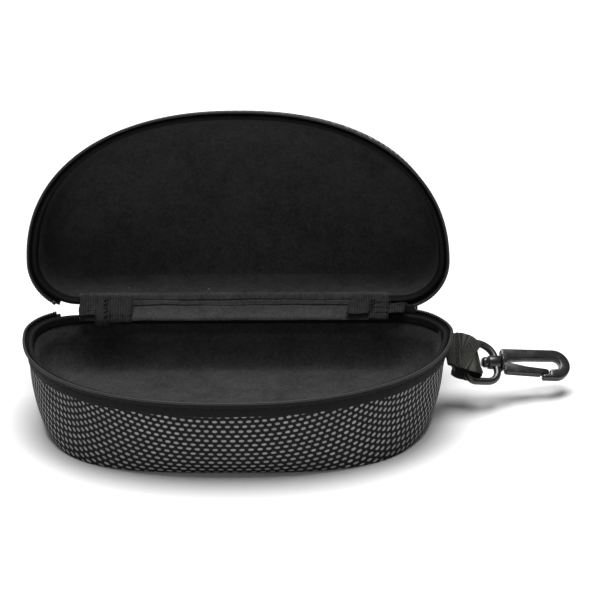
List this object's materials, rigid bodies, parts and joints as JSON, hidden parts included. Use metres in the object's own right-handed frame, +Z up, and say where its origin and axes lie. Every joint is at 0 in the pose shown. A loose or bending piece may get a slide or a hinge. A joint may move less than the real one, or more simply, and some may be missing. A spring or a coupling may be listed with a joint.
{
  "type": "hard eyewear case",
  "caption": "Hinged clamshell case that protects folded glasses, with a zipper round its rim and a swivel hook on a webbing loop to hang it by.",
  "frame": {"origin": "middle of the flat underside of the lower half, halfway across the zipper's depth and width", "axes": "+Z up, +X to the side that carries the webbing loop and hook, -Y to the side that opens, the fabric hinge at +Y"},
  "size_m": [0.2074, 0.1124, 0.1113],
  "materials": {
    "cover": "matte black mesh weave with lighter dashes",
    "foam": "moulded EVA foam, hidden between the cover and the lining",
    "lining": "short black fleece",
    "binding": "smooth black knit",
    "zip_tape": "woven polyester tape",
    "zip_coil": "nylon monofilament coil",
    "zip_metal": "black enamelled die casting",
    "thread": "polyester sewing thread",
    "webbing": "ribbed webbing",
    "hook_plastic": "glossy black moulded plastic"
  },
  "bodies": {
    "base": {"base_cover": "cover", "base_foam": "foam", "base_lining": "lining", "base_binding": "binding", "base_zipper_tape": "zip_tape", "base_zipper_coil": "zip_coil", "base_zipper_stops": "zip_metal", "base_seam_stitches": "thread", "hinge_panel_outer": "cover", "hinge_panel_inner": "lining", "zipper_tab_left": "binding", "zipper_tab_right": "binding", "tab_stitches": "thread"},
    "lid": {"lid_cover": "cover", "lid_foam": "foam", "lid_lining": "lining", "lid_binding": "binding", "lid_zipper_tape": "zip_tape", "lid_zipper_coil": "zip_coil", "lid_zipper_stops": "zip_metal", "lid_seam_stitches": "thread"},
    "slider": {"zipper_slider": "zip_metal"},
    "pull": {"slider_pull": "zip_metal"},
    "strap": {"strap_loop": "webbing", "strap_stitches": "thread"},
    "ring": {"swivel_ring": "hook_plastic"},
    "hook": {"hook_body": "hook_plastic"},
    "gate": {"hook_gate": "hook_plastic"}
  },
  "joints": [
    {"name": "lid_hinge", "type": "hinge", "parent": "base", "child": "lid", "pos_m": [0, 0.0385, 0.0343], "axis": [1, 0, 0], "range_deg": [-35, 99]},
    {"name": "slider_travel", "type": "hinge", "parent": "base", "child": "slider", "pos_m": [0.0615, 0.02, 0.0343], "axis": [0, 0, 1], "range_deg": [-10, 0]},
    {"name": "pull_swing", "type": "hinge", "parent": "slider", "child": "pull", "pos_m": [0.0639, 0.04135, 0.0307], "axis": [1, 0, 0], "range_deg": [-6, 45]},
    {"name": "strap_flex", "type": "hinge", "parent": "base", "child": "strap", "pos_m": [0.07972, 0.02321, 0.0258], "axis": [0.1586, -0.8997, -0.4067], "range_deg": [-5, 5]},
    {"name": "ring_swing", "type": "hinge", "parent": "strap", "child": "ring", "pos_m": [0.0866, 0.025, 0.018], "axis": [-0.1603, 0.8297, 0.5346], "range_deg": [-30, 30]},
    {"name": "hook_swivel", "type": "hinge", "parent": "ring", "child": "hook", "pos_m": [0.0978, 0.02864, 0.01571], "axis": [0.9336, 0.3033, -0.1908], "continuous": true},
    {"name": "gate_press", "type": "hinge", "parent": "hook", "child": "gate", "pos_m": [0.10208, 0.02809, 0.01373], "axis": [0.3205, -0.4685, 0.8233], "range_deg": [0, 13], "stiffness_Nm_per_rad": 0.02}
  ]
}
